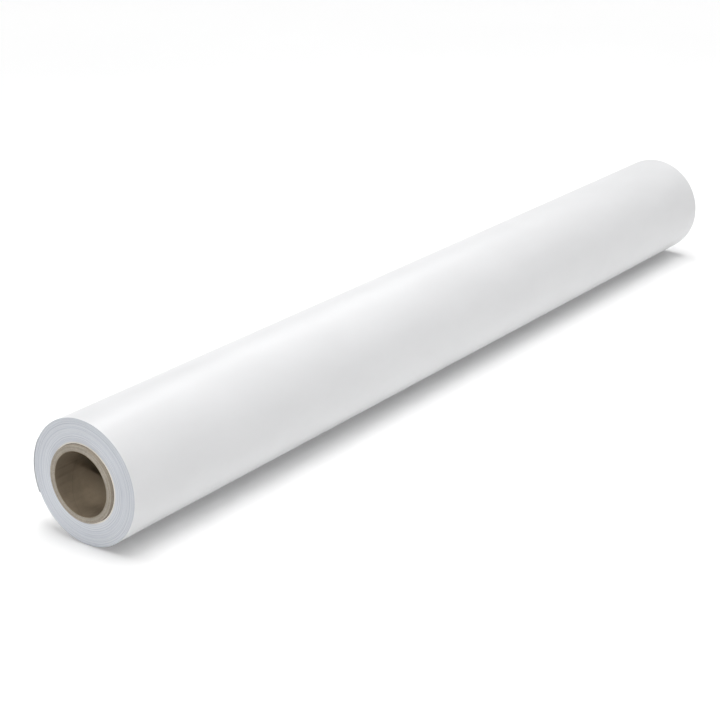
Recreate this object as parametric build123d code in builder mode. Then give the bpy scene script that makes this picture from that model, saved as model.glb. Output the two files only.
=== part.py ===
"""Half-width studio backdrop paper roll, lying on its side.

Frame: millimetres, +Z up, the roll's axis along +X, origin at the bottom centre
where the roll touches the surface it lies on.  Angles round the roll are in
degrees from +Y towards +Z.
"""

from build123d import *
import math
import os

os.makedirs("parts", exist_ok=True)

# ---------------------------------------------------------------- driving sizes
paper_width = 1350.0       # width of the web, the roll's length between paper faces
bore_d = 76.2              # 3 inch core
core_od = 91.0             # outside of the paperboard core
core_stick_out = 4.5       # the core stands this far proud of the paper at each end
liner_t = 0.6              # smooth kraft ply that lines the bore
board_plies = 8            # grey board plies laminated between liner and outer ply
outer_ply_t = 0.6          # kraft ply on the outside of the core

roll_r_bottom = 75.0       # radius of the wound roll where it rests on the surface
turn_pitch = 0.55          # drop from one turn to the next at the free tail
paper_t = 0.25             # thickness of the web
tail_base_deg = 30.0       # line where the free tail leaves the roll
tail_arc_deg = 53.5        # free tail, measured round the roll
tail_base_gap = 0.3        # slit between the fixed web and the tail's base

start_tape_w = 25.0        # double-sided strip that holds the web's first edge
start_tape_t = 0.2
start_tape_deg = 120.0

tab_len = 48.0             # low-tack tab, measured round the roll
tab_w = 38.0               # low-tack tab, measured along the roll
tab_t = 0.2
tab_lift = 0.02            # adhesive under the tab
tab_x = (-600.0, 0.0, 600.0)

# ---------------------------------------------------------------- derived sizes
axis_z = roll_r_bottom
core_len = paper_width + 2 * core_stick_out
bore_r = bore_d / 2
core_r = core_od / 2
liner_r = bore_r + liner_t
outer_ply_r = core_r - outer_ply_t
board_t = (outer_ply_r - liner_r) / board_plies


def web_r(deg):
    """Outside radius of the spiral web; it grows as deg falls towards the tail."""
    return roll_r_bottom + turn_pitch * (270.0 - deg) / 360.0


def at(r, deg):
    """Point of a section drawn on Plane.YZ, about the roll's axis."""
    return (r * math.cos(math.radians(deg)), r * math.sin(math.radians(deg)))


def ring(r, first_deg, last_deg, count):
    """Short arcs that follow a circle about the roll's axis, each bowed out by 2 um."""
    step = (last_deg - first_deg) / count
    for i in range(count):
        a = first_deg + i * step
        ThreePointArc(at(r, a), at(r + 0.002, a + step / 2), at(r, a + step))


def spiral(first_deg, last_deg, offset, count):
    """Arcs that follow the spiral web, offset from its outside."""
    step = (last_deg - first_deg) / count
    for i in range(count):
        a = first_deg + i * step
        ThreePointArc(
            at(web_r(a) + offset, a),
            at(web_r(a + step / 2) + offset, a + step / 2),
            at(web_r(a + step) + offset, a + step),
        )


section = Plane.YZ.shift_origin((0, 0, axis_z))
core_end = section.offset(-core_len / 2)
paper_end = section.offset(-paper_width / 2)

# ---------------------------------------------------------------- core
# A spiral-wound paperboard tube: a kraft liner, grey board plies and a kraft
# outer ply, glued together.
with BuildPart() as core_inner_liner:
    with BuildSketch(core_end):
        Circle(liner_r)
        Circle(bore_r, mode=Mode.SUBTRACT)
    extrude(amount=core_len)
core_inner_liner.part.label = "core_inner_liner"
export_step(core_inner_liner.part, "parts/core_inner_liner.step")

for n in range(board_plies):
    r_in = liner_r + n * board_t
    with BuildPart() as core_board_ply:
        with BuildSketch(core_end):
            Circle(r_in + board_t)
            Circle(r_in, mode=Mode.SUBTRACT)
        extrude(amount=core_len)
    name = f"core_board_ply_{n + 1}"
    core_board_ply.part.label = name
    export_step(core_board_ply.part, f"parts/{name}.step")

with BuildPart() as core_outer_ply:
    with BuildSketch(core_end):
        Circle(core_r)
        Circle(outer_ply_r, mode=Mode.SUBTRACT)
    extrude(amount=core_len)
core_outer_ply.part.label = "core_outer_ply"
export_step(core_outer_ply.part, "parts/core_outer_ply.step")

# ---------------------------------------------------------------- start tape
tape_half_deg = math.degrees(start_tape_w / 2 / core_r)


def tape_section(r_in):
    """Arc strip from r_in to the outside of the tape."""
    a, b = start_tape_deg - tape_half_deg, start_tape_deg + tape_half_deg
    r_out = core_r + start_tape_t
    ring(r_in, a, b, 8)
    Line(at(r_in, b), at(r_out, b))
    ring(r_out, b, a, 8)
    Line(at(r_out, a), at(r_in, a))


with BuildPart() as start_tape:
    with BuildSketch(paper_end):
        with BuildLine():
            tape_section(core_r)
        make_face()
    extrude(amount=paper_width)
start_tape.part.label = "start_tape"
export_step(start_tape.part, "parts/start_tape.step")

# ---------------------------------------------------------------- wound web
# One full turn of the spiral outline, closed by the step under the tail's base,
# with the core's seat and the start tape's pocket taken out.
web_end = tail_base_deg + 360.0
with BuildPart() as wound_paper:
    with BuildSketch(paper_end):
        with BuildLine():
            spiral(tail_base_deg, web_end, 0.0, 12)
            Line(at(web_r(web_end), web_end), at(web_r(tail_base_deg), tail_base_deg))
        make_face()
        Circle(core_r, mode=Mode.SUBTRACT)
        with BuildLine():
            tape_section(core_r - 1.0)
        make_face(mode=Mode.SUBTRACT)
    extrude(amount=paper_width)
wound_paper.part.label = "wound_paper"
export_step(wound_paper.part, "parts/wound_paper.step")

# ---------------------------------------------------------------- free tail
# The last stretch of the web.  It lies just clear of the turn beneath it and
# lifts about the line where it leaves the roll.
tail_first = tail_base_deg - math.degrees(tail_base_gap / web_r(tail_base_deg))
tail_last = tail_base_deg - tail_arc_deg
with BuildPart() as paper_tail:
    with BuildSketch(paper_end):
        with BuildLine():
            spiral(tail_first, tail_last, 0.0, 16)
            Line(
                at(web_r(tail_last), tail_last),
                at(web_r(tail_last) - paper_t, tail_last),
            )
            spiral(tail_last, tail_first, -paper_t, 16)
            Line(
                at(web_r(tail_first) - paper_t, tail_first),
                at(web_r(tail_first), tail_first),
            )
        make_face()
    extrude(amount=paper_width)
paper_tail.part.label = "paper_tail"
export_step(paper_tail.part, "parts/paper_tail.step")

# ---------------------------------------------------------------- tail tabs
# Three low-tack tabs, half on the tail and half past its edge.
tab_half_deg = math.degrees(tab_len / 2 / web_r(tail_last))
tab_r = web_r(tail_last) + tab_lift
with BuildPart() as tail_tabs:
    for x in tab_x:
        with BuildSketch(section.offset(x - tab_w / 2)):
            with BuildLine():
                a, b = tail_last - tab_half_deg, tail_last + tab_half_deg
                ring(tab_r, a, b, 10)
                Line(at(tab_r, b), at(tab_r + tab_t, b))
                ring(tab_r + tab_t, b, a, 10)
                Line(at(tab_r + tab_t, a), at(tab_r, a))
            make_face()
        extrude(amount=tab_w)
tail_tabs.part.label = "tail_tabs"
export_step(tail_tabs.part, "parts/tail_tabs.step")

print(f"bore radius {bore_r}, core radius {core_r}, core length {core_len}")
print(f"board ply {board_t:.4f} mm, liner to {liner_r}, outer ply from {outer_ply_r}")
print(f"web radius at the tail's base {web_r(tail_base_deg):.4f}, at its edge {web_r(tail_last):.4f}")
y0, z0 = at(web_r(tail_base_deg), tail_base_deg)
print(f"tail hinge line at y {y0:.4f}, z {z0 + axis_z:.4f}")
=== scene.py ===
"""Looks for the backdrop paper roll: web, tail, tabs, laminated core, floor, light, camera."""

import math

import bpy
import numpy as np
from mathutils import Matrix, Vector


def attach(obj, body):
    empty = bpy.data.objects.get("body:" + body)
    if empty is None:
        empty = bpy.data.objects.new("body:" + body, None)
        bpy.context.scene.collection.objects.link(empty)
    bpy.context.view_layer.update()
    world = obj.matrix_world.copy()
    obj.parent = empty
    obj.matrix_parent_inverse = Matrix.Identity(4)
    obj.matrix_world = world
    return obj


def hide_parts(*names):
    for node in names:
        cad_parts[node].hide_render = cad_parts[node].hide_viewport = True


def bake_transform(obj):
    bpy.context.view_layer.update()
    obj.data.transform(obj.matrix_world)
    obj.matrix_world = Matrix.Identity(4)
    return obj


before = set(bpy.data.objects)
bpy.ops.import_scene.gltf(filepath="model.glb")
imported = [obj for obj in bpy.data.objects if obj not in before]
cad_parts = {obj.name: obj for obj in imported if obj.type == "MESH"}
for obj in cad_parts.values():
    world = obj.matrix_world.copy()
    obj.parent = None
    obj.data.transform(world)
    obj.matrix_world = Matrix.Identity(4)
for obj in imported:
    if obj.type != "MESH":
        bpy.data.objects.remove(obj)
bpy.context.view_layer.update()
scene = bpy.context.scene

# ---------------------------------------------------------------- sizes, in metres
AXIS_Z = 0.075
HALF_WEB = 0.675
HALF_CORE = 0.6795
CORE_R = 0.0455
PAPER_T = 0.00025
PITCH = 0.00055
TAIL_BASE = math.radians(30.0)
TAIL_EDGE = math.radians(30.0 - 53.5)
TAB_X = (-0.6, 0.0, 0.6)


def web_r(a):
    """Outside radius of the spiral web at angle a, from +Y towards +Z."""
    return 0.075 + PITCH * (1.5 * math.pi - a) / (2 * math.pi)


# ---------------------------------------------------------------- noise and meshes
def smooth_noise(x, seed, octaves=3):
    """Repeatable 1-D value noise, about -1 to 1."""
    rng = np.random.default_rng(seed)
    table = rng.uniform(-1, 1, 4096)
    x = np.asarray(x, float)
    out, amp, total = np.zeros_like(x), 1.0, 0.0
    for k in range(octaves):
        p = x * 2**k + 131.7 * k
        i = np.floor(p).astype(int)
        f = p - i
        f = f * f * (3 - 2 * f)
        out += amp * (table[i % 4096] * (1 - f) + table[(i + 1) % 4096] * f)
        total += amp
        amp *= 0.5
    return out / total


def wave_noise(a, seed, first=1, last=6):
    """Repeatable noise of an angle, which closes on itself, about -1 to 1."""
    rng = np.random.default_rng(seed)
    out, total = np.zeros_like(np.asarray(a, float)), 0.0
    for k in range(first, last + 1):
        amp = 1.0 / k
        out += amp * np.cos(k * a + rng.uniform(0, 2 * math.pi))
        total += amp
    return out / total * 1.6


def mesh_object(name, co, quads, material, uv=None):
    """A smooth-shaded mesh object with its faces turned outwards."""
    co, quads = np.asarray(co, float).reshape(-1, 3), np.asarray(quads, int)
    t = np.concatenate([quads[:, [0, 1, 2]], quads[:, [0, 2, 3]]])
    centre = co.mean(0)
    p, q, r = (co[t[:, i]] - centre for i in range(3))
    if np.einsum("ij,ij->i", p, np.cross(q, r)).sum() < 0:
        quads = quads[:, ::-1]
    mesh = bpy.data.meshes.new(name)
    mesh.vertices.add(len(co))
    mesh.vertices.foreach_set("co", co.astype(np.float32).ravel())
    mesh.loops.add(quads.size)
    mesh.loops.foreach_set("vertex_index", quads.astype(np.int32).ravel())
    mesh.polygons.add(len(quads))
    mesh.polygons.foreach_set("loop_start", np.arange(0, quads.size, 4, dtype=np.int32))
    mesh.update(calc_edges=True)
    mesh.validate()
    mesh.materials.append(material)
    mesh.polygons.foreach_set("use_smooth", np.ones(len(mesh.polygons), bool))
    mesh.set_sharp_from_angle(angle=math.radians(38))
    obj = bpy.data.objects.new(name, mesh)
    scene.collection.objects.link(obj)
    return obj


def lathe_quads(rows, cols, close_rows=True):
    """Quads of a grid whose columns go round the axis; rows go along a closed profile."""
    i = np.arange(rows if close_rows else rows - 1)
    j = np.arange(cols)
    a = (i[:, None] * cols + j[None, :]).ravel()
    b = (((i + 1) % rows)[:, None] * cols + j[None, :]).ravel()
    c = (((i + 1) % rows)[:, None] * cols + ((j + 1) % cols)[None, :]).ravel()
    d = (i[:, None] * cols + ((j + 1) % cols)[None, :]).ravel()
    return np.stack([a, b, c, d], 1)


def place(x, r, a):
    """Points from a length along the axis, a radius and an angle."""
    x, r, a = np.broadcast_arrays(x, r, a)
    return np.stack([x, r * np.cos(a), AXIS_Z + r * np.sin(a)], -1)


# ---------------------------------------------------------------- materials
class Nodes:
    """A short way to write a material's nodes."""

    def __init__(self, name):
        self.mat = bpy.data.materials.new(name)
        self.mat.use_nodes = True
        self.tree = self.mat.node_tree
        self.tree.nodes.clear()
        self.out = self.tree.nodes.new("ShaderNodeOutputMaterial")
        self.bsdf = self.tree.nodes.new("ShaderNodeBsdfPrincipled")
        self.link(self.bsdf.outputs[0], self.out.inputs["Surface"])

    def link(self, a, b):
        self.tree.links.new(a, b)

    def put(self, value, socket):
        if isinstance(value, bpy.types.NodeSocket):
            self.link(value, socket)
        else:
            socket.default_value = value

    def node(self, kind, **inputs):
        n = self.tree.nodes.new(kind)
        for key, value in inputs.items():
            self.put(value, n.inputs[key.replace("_", " ")])
        return n

    def math(self, operation, *values, clamp=False):
        n = self.tree.nodes.new("ShaderNodeMath")
        n.operation, n.use_clamp = operation, clamp
        for i, v in enumerate(values):
            self.put(v, n.inputs[i])
        return n.outputs[0]

    def span(self, value, low, high, to_low, to_high, smooth=False):
        n = self.tree.nodes.new("ShaderNodeMapRange")
        n.interpolation_type = "SMOOTHSTEP" if smooth else "LINEAR"
        for i, v in enumerate((value, low, high, to_low, to_high)):
            self.put(v, n.inputs[i])
        return n.outputs[0]

    def noise(self, vector, scale, detail=2.0, rough=0.5, dims="3D", w=None):
        n = self.tree.nodes.new("ShaderNodeTexNoise")
        n.noise_dimensions = dims
        if dims == "1D":
            self.put(w, n.inputs["W"])
        else:
            self.put(vector, n.inputs["Vector"])
        n.inputs["Scale"].default_value = scale
        n.inputs["Detail"].default_value = detail
        n.inputs["Roughness"].default_value = rough
        return n.outputs[0]

    def point(self):
        """Place on the piece, in metres, and its parts."""
        t = self.tree.nodes.new("ShaderNodeTexCoord")
        s = self.tree.nodes.new("ShaderNodeSeparateXYZ")
        self.link(t.outputs["Object"], s.inputs[0])
        return t.outputs["Object"], s.outputs[0], s.outputs[1], s.outputs[2]

    def polar(self):
        """Radius in metres and turns from 0 to 1 about the roll's axis."""
        _, _, y, z = self.point()
        dz = self.math("SUBTRACT", z, AXIS_Z)
        r = self.math(
            "SQRT",
            self.math(
                "ADD", self.math("MULTIPLY", y, y), self.math("MULTIPLY", dz, dz)
            ),
        )
        turn = self.math(
            "ADD", self.math("DIVIDE", self.math("ARCTAN2", dz, y), 2 * math.pi), 0.5
        )
        return r, turn

    def stretch(self, vector, sx, sy, sz):
        n = self.tree.nodes.new("ShaderNodeVectorMath")
        n.operation = "MULTIPLY"
        self.link(vector, n.inputs[0])
        n.inputs[1].default_value = (sx, sy, sz)
        return n.outputs[0]

    def join(self, x, y, z):
        n = self.tree.nodes.new("ShaderNodeCombineXYZ")
        for i, v in enumerate((x, y, z)):
            self.put(v, n.inputs[i])
        return n.outputs[0]

    def ramp(self, value, *stops):
        n = self.tree.nodes.new("ShaderNodeValToRGB")
        self.link(value, n.inputs[0])
        e = n.color_ramp.elements
        while len(e) < len(stops):
            e.new(0.5)
        for el, (pos, rgb) in zip(e, stops):
            el.position, el.color = pos, (*rgb, 1.0)
        return n.outputs[0]

    def blend(self, share, a, b, mode="MIX"):
        n = self.tree.nodes.new("ShaderNodeMix")
        n.data_type, n.blend_type = "RGBA", mode
        self.put(share, n.inputs[0])
        self.put(a if not isinstance(a, tuple) else (*a, 1.0), n.inputs[6])
        self.put(b if not isinstance(b, tuple) else (*b, 1.0), n.inputs[7])
        return n.outputs[2]

    def bump(self, height, distance, strength=1.0, under=None):
        n = self.tree.nodes.new("ShaderNodeBump")
        self.put(height, n.inputs["Height"])
        n.inputs["Distance"].default_value = distance
        n.inputs["Strength"].default_value = strength
        if under is not None:
            self.link(under, n.inputs["Normal"])
        return n.outputs[0]

    def finish(self, colour, roughness, normal=None, **sockets):
        self.put(
            colour if not isinstance(colour, tuple) else (*colour, 1.0),
            self.bsdf.inputs["Base Color"],
        )
        self.put(roughness, self.bsdf.inputs["Roughness"])
        if normal is not None:
            self.link(normal, self.bsdf.inputs["Normal"])
        for key, value in sockets.items():
            self.bsdf.inputs[key.replace("_", " ")].default_value = value
        return self.mat


PAPER = (0.795, 0.798, 0.806)


def satin_paper():
    """Smooth coated side of the web: faint clouding, fibre and a satin calendered gloss."""
    n = Nodes("satin_paper")
    p, x, y, z = n.point()
    cloud = n.noise(n.stretch(p, 1.0, 2.2, 2.2), 9.0, 3.0)
    fibre = n.noise(n.stretch(p, 1.0, 0.6, 0.6), 1900.0, 3.0, 0.65)
    tone = n.math(
        "ADD", n.math("MULTIPLY", cloud, 0.6), n.math("MULTIPLY", fibre, 0.4)
    )
    colour = n.ramp(
        tone,
        (0.3, tuple(c * 0.965 for c in PAPER)),
        (0.7, tuple(min(c * 1.02, 1) for c in PAPER)),
    )
    gloss = n.noise(n.stretch(p, 1.0, 0.12, 0.12), 260.0, 2.0)
    rough = n.span(
        n.math("ADD", n.math("MULTIPLY", gloss, 0.5), n.math("MULTIPLY", cloud, 0.5)),
        0.3,
        0.7,
        0.3,
        0.37,
    )
    normal = n.bump(
        fibre,
        0.00002,
        0.35,
        n.bump(n.noise(n.stretch(p, 1.0, 0.5, 0.5), 75.0, 2.0), 0.00006, 0.35),
    )
    return n.finish(colour, rough, normal, Specular_IOR_Level=0.5)


def paper_edges():
    """Cut edges of the turns: one line a turn, with the tone of each turn drifting along it."""
    n = Nodes("paper_edges")
    r, turn = n.polar()
    at = n.math(
        "SUBTRACT", n.math("DIVIDE", n.math("SUBTRACT", r, CORE_R), PAPER_T), turn
    )
    p = n.point()[0]
    wander = n.span(n.noise(p, 34.0, 2.0), 0.3, 0.7, -2.2, 2.2)
    layer = n.math("FLOOR", at)
    along = n.math("ADD", layer, turn)
    one = n.noise(None, 1.7, 1.0, dims="1D", w=along)
    group = n.noise(None, 0.2, 2.0, dims="1D", w=n.math("ADD", n.math("ADD", at, wander), 40.0))
    tone = n.math("ADD", n.math("MULTIPLY", one, 0.45), n.math("MULTIPLY", group, 0.55))
    colour = n.ramp(
        tone,
        (0.40, (0.61, 0.64, 0.70)),
        (0.5, (0.715, 0.745, 0.80)),
        (0.60, (0.785, 0.81, 0.84)),
    )
    gap = n.math("FRACT", at)
    line = n.math(
        "MULTIPLY",
        n.span(gap, 0.0, 0.16, 0.0, 1.0, True),
        n.span(gap, 0.84, 1.0, 1.0, 0.0, True),
    )
    colour = n.blend(
        n.span(line, 0.0, 1.0, 0.22, 0.0), colour, (0.55, 0.57, 0.61), "MIX"
    )
    inner = n.span(at, 3.0, 11.0, 1.0, 0.0, True)
    colour = n.blend(inner, colour, (0.97, 0.925, 0.845))
    # Painted shade: the outermost turns are darkened, as a dark outline round the edge of the end.
    rim_shade = n.span(at, 112.0, 115.5, 0.0, 0.4, True)
    colour = n.blend(rim_shade, colour, (0.60, 0.62, 0.66))
    normal = n.bump(line, 0.00004, 0.5, n.bump(one, 0.00012, 0.6))
    return n.finish(colour, 0.62, normal, Specular_IOR_Level=0.35)


def board(name, low, high, grain=(1.0, 1.0, 1.0), scale=900.0, painted_shade_r=None):
    """Paperboard: mottled pulp with short fibres and darker specks."""
    n = Nodes(name)
    p, x, y, z = n.point()
    pulp = n.noise(n.stretch(p, *grain), scale, 5.0, 0.7)
    patch = n.noise(p, 95.0, 3.0, 0.6)
    tone = n.math("ADD", n.math("MULTIPLY", pulp, 0.62), n.math("MULTIPLY", patch, 0.38))
    colour = n.ramp(
        tone, (0.32, low), (0.52, tuple((a + b) / 2 for a, b in zip(low, high))), (0.68, high)
    )
    speck = n.span(n.noise(p, 2300.0, 1.0), 0.66, 0.74, 0.0, 0.55, True)
    colour = n.blend(speck, colour, tuple(c * 0.45 for c in low))
    # Painted shade: the ply is darkened from this radius outwards, as a dark line where the core meets the paper.
    if painted_shade_r is not None:
        r, _ = n.polar()
        colour = n.blend(
            n.span(r, painted_shade_r - 0.00015, painted_shade_r, 0.0, 0.45, True), colour, (0.17, 0.14, 0.105)
        )
    normal = n.bump(pulp, 0.00018, 0.8)
    return n.finish(colour, 0.93, normal, Specular_IOR_Level=0.18)


def kraft_liner():
    """Smooth brown kraft that lines the bore, wound in a helix with a butt seam."""
    n = Nodes("kraft_liner")
    p, x, y, z = n.point()
    r, turn = n.polar()
    helix = n.math("FRACT", n.math("SUBTRACT", n.math("DIVIDE", x, 0.118), turn))
    seam = n.math(
        "MULTIPLY",
        n.span(helix, 0.0, 0.007, 0.0, 1.0, True),
        n.span(helix, 0.993, 1.0, 1.0, 0.0, True),
    )
    fibre = n.noise(n.join(n.math("MULTIPLY", helix, 0.35), turn, x), 620.0, 4.0, 0.7)
    pulp = n.noise(p, 1500.0, 4.0, 0.7)
    patch = n.noise(p, 60.0, 3.0, 0.6)
    tone = n.math(
        "ADD",
        n.math("MULTIPLY", n.math("ADD", fibre, pulp), 0.3),
        n.math("MULTIPLY", patch, 0.4),
    )
    colour = n.ramp(
        tone, (0.36, (0.235, 0.185, 0.128)), (0.5, (0.27, 0.215, 0.15)), (0.64, (0.305, 0.247, 0.178))
    )
    colour = n.blend(n.span(seam, 0.0, 1.0, 0.2, 0.0), colour, (0.09, 0.07, 0.045))
    # Painted shade: the liner is darkened towards each end of the bore, over the last 5 cm or so, to even out the
    # light that falls in at the mouth.
    depth = n.math("SUBTRACT", HALF_CORE, n.math("ABSOLUTE", x))
    mouth_shade = n.span(
        n.math("ADD", depth, n.span(patch, 0.3, 0.7, -0.008, 0.008)), 0.0, 0.05, 0.42, 0.0, True
    )
    colour = n.blend(mouth_shade, colour, (0.11, 0.088, 0.062))
    normal = n.bump(seam, 0.0001, 1.0, n.bump(pulp, 0.00005, 0.6))
    return n.finish(colour, 0.85, normal, Specular_IOR_Level=0.25)


def tab_tape():
    """Frosted low-tack tape, faintly clouded."""
    n = Nodes("tab_tape")
    p, x, y, z = n.point()
    cloud = n.noise(p, 70.0, 2.0)
    colour = n.ramp(cloud, (0.3, (0.70, 0.655, 0.525)), (0.7, (0.73, 0.69, 0.56)))
    return n.finish(colour, n.span(cloud, 0.3, 0.7, 0.42, 0.48), Specular_IOR_Level=0.4)


def start_tape():
    """Tissue tape with dry adhesive."""
    n = Nodes("start_tape")
    p, x, y, z = n.point()
    pulp = n.noise(p, 700.0, 4.0, 0.7)
    colour = n.ramp(pulp, (0.35, (0.72, 0.69, 0.60)), (0.65, (0.84, 0.82, 0.74)))
    return n.finish(colour, 0.7, n.bump(pulp, 0.0001, 0.5))


def floor_paint():
    n = Nodes("floor")
    p, x, y, z = n.point()
    cloud = n.noise(p, 2.0, 2.0)
    colour = n.ramp(cloud, (0.3, (0.925, 0.925, 0.925)), (0.7, (0.935, 0.935, 0.935)))
    return n.finish(
        colour,
        0.8,
        Specular_IOR_Level=0.1,
        Emission_Color=(1.0, 1.0, 1.0, 1.0),
        Emission_Strength=0.09,
    )


side_mat, edge_mat = satin_paper(), paper_edges()
liner_mat = kraft_liner()
# The outer ply's outside carries painted shade, a dark line where the core stands out of the paper.
outer_mat = board("kraft_outer", (0.335, 0.29, 0.235), (0.525, 0.475, 0.40), (1.0, 0.4, 0.4), painted_shade_r=CORE_R)
board_mats = [
    board("grey_board_a", (0.31, 0.275, 0.225), (0.52, 0.475, 0.405)),
    board("grey_board_b", (0.335, 0.30, 0.25), (0.55, 0.50, 0.435)),
    board("grey_board_c", (0.29, 0.255, 0.205), (0.49, 0.44, 0.375)),
]

# ---------------------------------------------------------------- wound web
# A closed profile carried round the axis: the seat on the core, the cut edges of the
# turns, a soft outer edge, and the side, at both ends.  The radius follows the spiral,
# so one narrow column of faces is the step that the tail leaves from.
COLS = 540
FIRST = TAIL_BASE
angles = FIRST + np.linspace(0, 2 * math.pi - math.radians(0.12), COLS)
r_out = web_r(angles)
tape = np.clip(1 - np.abs(((angles - math.radians(120) + math.pi) % (2 * math.pi)) - math.pi) / math.radians(17), 0, 1)
r_seat = CORE_R + 0.00002 + 0.00022 * np.clip(tape * 4, 0, 1)
FACE_ROWS = 232


def face_rows(sign):
    """(x, r) rows from the core outwards over one end of the web, each over all angles."""
    rows = []
    lip = ((0.0040, 0.00000), (0.0018, 0.00010), (0.0006, 0.00026), (0.00012, 0.00038))
    for depth, out in lip:
        rows.append((sign * (HALF_WEB - depth) + 0 * angles, r_seat + out))
    r_first = r_seat + 0.00048
    for s in np.linspace(0, 1, FACE_ROWS):
        r = r_first + s * (r_out - 0.00022 - r_first)
        n = (r - CORE_R) / PAPER_T - (angles - FIRST) / (2 * math.pi)
        seed = 11 if sign < 0 else 23
        bands = (
            0.00016 * smooth_noise(n * 0.11, seed, 2)
            + 0.00007 * smooth_noise(n * 0.45, seed + 1, 2)
            + 0.00002 * smooth_noise(n * 1.9, seed + 2, 1)
        )
        stepped = 0.00011 * np.tanh(9 * smooth_noise(n * 0.075 + 7, seed + 3, 1))
        proud = 0.00034 * np.exp(-(((n - 3.0) / 2.4) ** 2))
        edge = -0.00022 * np.clip((s - 0.955) / 0.045, 0, 1) ** 2
        dish = 0.00025 * wave_noise(angles, seed + 4, 1, 3) * s
        rows.append((sign * (HALF_WEB - 0.0002 + bands + stepped + proud + edge + dish), r))
    last = rows[-1][0]
    for back, drop in ((0.00004, 0.00010), (0.00014, 0.00003), (0.00032, 0.0)):
        rows.append((last - sign * back, r_out - drop))
    return rows


def side_swell(x, a):
    """Slight unevenness of the wound side, in metres; every turn shares it."""
    x, a = np.broadcast_arrays(x, a)
    ring = 0.00004 * smooth_noise(x * 9.0 + 50, 5, 3)
    lobes = 0.00006 * wave_noise(a, 31, 2, 7)
    drift = 0.00005 * wave_noise(a + 1.5 * x, 37, 3, 9)
    ease = np.clip((HALF_WEB - np.abs(x)) / 0.03, 0, 1)
    return (ring + lobes + drift) * ease


near, far = face_rows(-1), face_rows(1)
side = [
    (x + 0 * angles, r_out + side_swell(x, angles))
    for x in np.concatenate(
        [[-0.6742, -0.6725], np.linspace(-0.668, 0.668, 101), [0.6725, 0.6742]]
    )
]
profile = near + side + far[::-1]
grid = np.stack([place(x, r, angles) for x, r in profile])
web = mesh_object("web_roll", grid, lathe_quads(len(profile), COLS), side_mat)
web.data.materials.append(edge_mat)
index = np.zeros(len(web.data.polygons), np.int32)
centres = np.zeros(len(web.data.polygons) * 3, np.float32)
web.data.polygons.foreach_get("center", centres)
centres = centres.reshape(-1, 3)
radius = np.hypot(centres[:, 1], centres[:, 2] - AXIS_Z)
turn_angle = (np.arctan2(centres[:, 2] - AXIS_Z, centres[:, 1]) - FIRST) % (2 * math.pi)
index[(np.abs(centres[:, 0]) > 0.6735) & (radius < web_r(turn_angle + FIRST) - 0.00006)] = 1
web.data.polygons.foreach_set("material_index", index)
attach(web, "roll")
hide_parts("wound_paper")

# ---------------------------------------------------------------- free tail
T_COLS, T_ROWS = 61, 271
ta = np.linspace(TAIL_BASE, TAIL_EDGE, T_COLS)
tx = np.linspace(-HALF_WEB, HALF_WEB, T_ROWS)
share = ((TAIL_BASE - ta) / (TAIL_BASE - TAIL_EDGE))[None, :]
hold = np.min([np.abs(tx - t) for t in TAB_X], axis=0)[:, None]
gape = np.clip((hold - 0.02) / 0.25, 0, 1)
gape = gape * gape * (3 - 2 * gape)
ripple = 0.0003 * smooth_noise(tx * 7 + 20, 71, 2)[:, None]
free = np.clip((hold - 0.021) / 0.05, 0, 1)
lift = (0.0028 * gape + ripple * free) * share**2.2
lift = np.clip(lift, -0.0001, 0.0036) + side_swell(tx[:, None], ta[None, :])
outer = place(tx[:, None], web_r(ta)[None, :] + lift, ta[None, :])
inner = place(tx[:, None], web_r(ta)[None, :] - PAPER_T + lift, ta[None, :])
co = np.concatenate([outer.reshape(-1, 3), inner.reshape(-1, 3)])
i, j = np.meshgrid(np.arange(T_ROWS - 1), np.arange(T_COLS - 1), indexing="ij")
a = (i * T_COLS + j).ravel()
sheet = np.stack([a, a + 1, a + T_COLS + 1, a + T_COLS], 1)
half = T_ROWS * T_COLS
walls = []
for k in range(T_COLS - 1):
    walls += [(k + 1, k, half + k, half + k + 1)]
    b = (T_ROWS - 1) * T_COLS + k
    walls += [(b, b + 1, half + b + 1, half + b)]
for k in range(T_ROWS - 1):
    b = k * T_COLS
    walls += [(b, b + T_COLS, half + b + T_COLS, half + b)]
    b = k * T_COLS + T_COLS - 1
    walls += [(b + T_COLS, b, half + b, half + b + T_COLS)]
quads = np.concatenate([sheet, sheet[:, ::-1] + half, np.array(walls)])
tail = mesh_object("tail_sheet", co, quads, side_mat)
tail.data.materials.append(edge_mat)
cut = np.zeros(len(tail.data.polygons), np.int32)
cut[2 * len(sheet) :] = 1
tail.data.polygons.foreach_set("material_index", cut)
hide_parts("paper_tail")
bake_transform(tail)

# ---------------------------------------------------------------- tail tabs
tape_mat = tab_tape()


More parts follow.
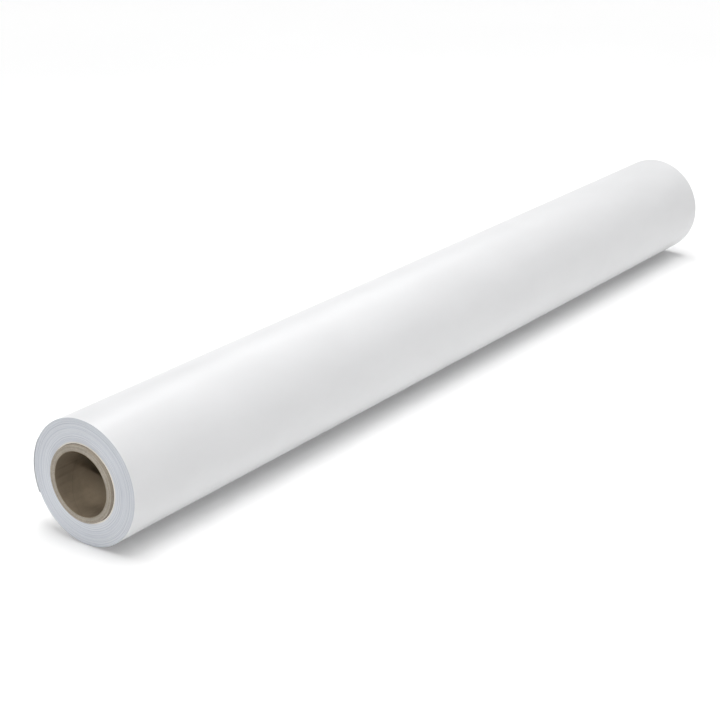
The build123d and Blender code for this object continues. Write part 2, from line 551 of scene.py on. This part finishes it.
def tab(name, x0, skew):
    """A strip of tape over the tail's edge, stepping down on to the turn beneath."""
    rows, cols = 25, 73
    v = np.linspace(-1, 1, rows)[:, None]
    u = np.linspace(-1, 1, cols)[None, :]
    arc = 0.024 / 0.0754 * u
    a = TAIL_EDGE - arc + skew * v
    width = 0.019 * v
    past = np.clip(((TAIL_EDGE - a) * 0.0754 - 0.0004) / 0.0024, 0, 1)
    past = past * past * (3 - 2 * past)
    r = (web_r(a) + 0.00003) * (1 - past) + (web_r(a + 2 * math.pi) + 0.00004) * past
    r = r + side_swell(x0 + width, a)
    top = place(x0 + width, r + 0.00012, a).reshape(-1, 3)
    low = place(x0 + width, r, a).reshape(-1, 3)
    i, j = np.meshgrid(np.arange(rows - 1), np.arange(cols - 1), indexing="ij")
    k = (i * cols + j).ravel()
    face = np.stack([k, k + 1, k + cols + 1, k + cols], 1)
    n = rows * cols
    walls = []
    for c in range(cols - 1):
        b = (rows - 1) * cols + c
        walls += [(c + 1, c, n + c, n + c + 1), (b, b + 1, n + b + 1, n + b)]
    for q in range(rows - 1):
        b, e = q * cols, q * cols + cols - 1
        walls += [(b, b + cols, n + b + cols, n + b), (e + cols, e, n + e, n + e + cols)]
    obj = mesh_object(
        name, np.concatenate([top, low]), np.concatenate([face, face[:, ::-1] + n, walls]), tape_mat
    )
    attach(obj, "tail")
    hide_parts("tail_tabs")
    return obj


tab("tail_tab_near", TAB_X[0], 0.004)
tab("tail_tab_mid", TAB_X[1], -0.006)
tab("tail_tab_far", TAB_X[2], 0.003)


# ---------------------------------------------------------------- core
def ply(name, node, r0, r1, material, seed, proud=0.0, fray=0.00006, soft=0.00012, burr=0.0):
    """One ply of the core as a tube with a knife-cut, slightly frayed end."""
    cols = 360
    a = np.linspace(0, 2 * math.pi, cols, endpoint=False)
    t = r1 - r0
    soft = min(soft, t * 0.3)
    tuft = {}
    for sign in (-1, 1):
        tuft[sign] = np.clip(wave_noise(a, seed + 61 + sign, 17, 67) * 3.2 - 0.1, 0, 1)
    rows = []
    for sign in (-1, 1):
        cut = wave_noise(a, seed + (sign > 0) * 100, 1, 4) * 0.00012
        end = []
        steps = 9
        for k in range(steps):
            f = k / (steps - 1)
            nap = fray * smooth_noise(a * 60 / math.pi + 37 * k, seed * 7 + k + (sign > 0), 2)
            nap[-20:] = nap[-20:] * np.linspace(1, 0, 20) + nap[0] * np.linspace(0, 1, 20)
            round_off = soft * (abs(2 * f - 1) ** 6)
            x = sign * (HALF_CORE - 0.00015 + proud + cut + nap - round_off)
            inward = burr * tuft[sign] * max(0.0, 1 - 2.5 * f)
            end.append((x, r0 + t * (0.02 + 0.96 * f) - inward))
        back = sign * (HALF_CORE - 0.0009)
        end = [(back + 0 * a, r0 + 0 * a)] + end + [(back + 0 * a, r1 + 0 * a)]
        if sign < 0:
            rows += end
            for x in np.linspace(-0.6, 0.6, 13):
                rows.append((x + 0 * a, r1 + 0 * a))
        else:
            rows += end[::-1]
            for x in np.linspace(0.6, -0.6, 13):
                rows.append((x + 0 * a, r0 + 0 * a))
    grid = np.stack([place(x, r, a) for x, r in rows])
    obj = mesh_object(name, grid, lathe_quads(len(rows), cols), material)
    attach(obj, "roll")
    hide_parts(node)
    return obj


BORE_R, LINER_R, OUTER_R = 0.0381, 0.0387, 0.0449
ply("liner_tube", "core_inner_liner", BORE_R, LINER_R, liner_mat, 3, -0.0001, 0.00008, burr=0.0002)
step = (OUTER_R - LINER_R) / 8
rng = np.random.default_rng(8)
for k in range(8):
    ply(
        f"board_ply_{k + 1}",
        f"core_board_ply_{k + 1}",
        LINER_R + k * step,
        LINER_R + (k + 1) * step,
        board_mats[(k * 2 + k // 3) % 3],
        40 + k,
        float(rng.uniform(-0.00012, 0.00012)),
        0.00009,
    )
ply("outer_ply_tube", "core_outer_ply", OUTER_R, CORE_R, outer_mat, 4, -0.00012, 0.00008)

tape_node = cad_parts["start_tape"]
tape_node.data.materials.clear()
tape_node.data.materials.append(start_tape())

# ---------------------------------------------------------------- floor, light, camera
size = 30.0
floor_mesh = bpy.data.meshes.new("floor")
floor_mesh.from_pydata(
    [(-size, -size, 0), (size, -size, 0), (size, size, 0), (-size, size, 0)], [], [(0, 1, 2, 3)]
)
floor_mesh.materials.append(floor_paint())
floor = bpy.data.objects.new("floor", floor_mesh)
scene.collection.objects.link(floor)

# The backdrop is plain white; as light, the world is dimmer and fades overhead.
world = bpy.data.worlds.new("studio")
scene.world = world
world.use_nodes = True
wt = world.node_tree
wt.nodes.clear()
w_out = wt.nodes.new("ShaderNodeOutputWorld")
w_bg = wt.nodes.new("ShaderNodeBackground")
w_tc = wt.nodes.new("ShaderNodeTexCoord")
w_sep = wt.nodes.new("ShaderNodeSeparateXYZ")
w_map = wt.nodes.new("ShaderNodeMapRange")
w_map.interpolation_type = "SMOOTHSTEP"
wt.links.new(w_tc.outputs["Generated"], w_sep.inputs[0])
wt.links.new(w_sep.outputs[2], w_map.inputs[0])
for i, v in ((1, 0.15), (2, 0.5), (3, 0.44), (4, 0.06)):
    w_map.inputs[i].default_value = v
w_path = wt.nodes.new("ShaderNodeLightPath")
w_mix = wt.nodes.new("ShaderNodeMix")
w_mix.inputs[3].default_value = 1.0
wt.links.new(w_path.outputs["Is Camera Ray"], w_mix.inputs[0])
wt.links.new(w_map.outputs[0], w_mix.inputs[2])
wt.links.new(w_mix.outputs[0], w_bg.inputs["Strength"])
w_bg.inputs["Color"].default_value = (1.0, 1.0, 1.0, 1.0)
wt.links.new(w_bg.outputs[0], w_out.inputs[0])


def aim(obj, place_, target):
    obj.location = place_
    obj.rotation_mode = "QUATERNION"
    obj.rotation_quaternion = (Vector(target) - Vector(place_)).to_track_quat("-Z", "Y")


def area(name, place_, target, width, height, power, colour=(1, 1, 1)):
    light = bpy.data.lights.new(name, "AREA")
    light.shape, light.size, light.size_y = "RECTANGLE", width, height
    light.energy, light.color = power, colour
    obj = bpy.data.objects.new(name, light)
    scene.collection.objects.link(obj)
    aim(obj, place_, target)
    return obj


def sky(name, azimuth, elevation, strength):
    """A wide, soft light from far away; azimuth runs from +X towards +Y."""
    light = bpy.data.lights.new(name, "SUN")
    light.energy, light.angle = strength, math.radians(40)
    obj = bpy.data.objects.new(name, light)
    scene.collection.objects.link(obj)
    a, e = math.radians(azimuth), math.radians(elevation)
    aim(obj, (math.cos(e) * math.cos(a), math.cos(e) * math.sin(a), math.sin(e)), (0, 0, 0))


sky("top_panel", 0, 90, 1.42)
sky("front_panel", -90, 70, 0.96)
sky("rear_panel", 90, 45, 0.42)
sky("near_panel", 180, 50, 0.18)
area("top_strip", (-0.15, 0.2, 1.2), (-0.05, 0.0, 0.08), 1.3, 0.25, 3.4)
area("rear_strip", (0.1, 0.5, 1.0), (0.0, 0.0, 0.08), 1.6, 0.35, 0.5)
area("far_box", (0.9, 0.6, 1.0), (0.3, 0.0, 0.08), 0.8, 0.5, 1.2)

# A snooted spot that reaches into the near end of the bore.  Its cone is narrowed
# one way, so that it falls on the core's end as a circle.
mouth = Vector((-HALF_CORE, 0.0, AXIS_Z))
azimuth, elevation = math.radians(30.0), math.radians(40.0)
towards = Vector(
    (
        -math.cos(elevation) * math.cos(azimuth),
        -math.cos(elevation) * math.sin(azimuth),
        math.sin(elevation),
    )
)
lean = Vector((-1.0, 0.0, 0.0)) - towards * -towards.x
lean.normalize()
spot = bpy.data.lights.new("bore_spot", "SPOT")
spot.energy, spot.shadow_soft_size = 58.0, 0.03
spot.spot_size, spot.spot_blend = 2 * math.atan(0.047 / 1.5), 0.5
spot_obj = bpy.data.objects.new("bore_spot", spot)
scene.collection.objects.link(spot_obj)
spot_obj.location = mouth + towards * 1.5
spot_obj.rotation_mode = "QUATERNION"
spot_obj.rotation_quaternion = (
    Matrix((lean.cross(towards), lean, towards)).transposed().to_quaternion()
)
spot_obj.scale = (1.0, -towards.x, 1.0)

camera = bpy.data.cameras.new("camera")
camera.sensor_width = 36.0
camera.lens = 89.57
camera.clip_start, camera.clip_end = 0.05, 100.0
cam = bpy.data.objects.new("camera", camera)
scene.collection.objects.link(cam)
cam.rotation_mode = "QUATERNION"
cam.location = (-1.9364, -1.2825, 0.9002)
cam.rotation_quaternion = Matrix(
    (
        (0.58524, 0.29081, -0.75692),
        (-0.81086, 0.20989, -0.54631),
        (0.0, 0.93347, 0.35864),
    )
).to_quaternion()
scene.camera = cam

scene.view_settings.view_transform = "Standard"
scene.view_settings.look = "None"
scene.view_settings.exposure = 0.0
scene.view_settings.gamma = 1.0
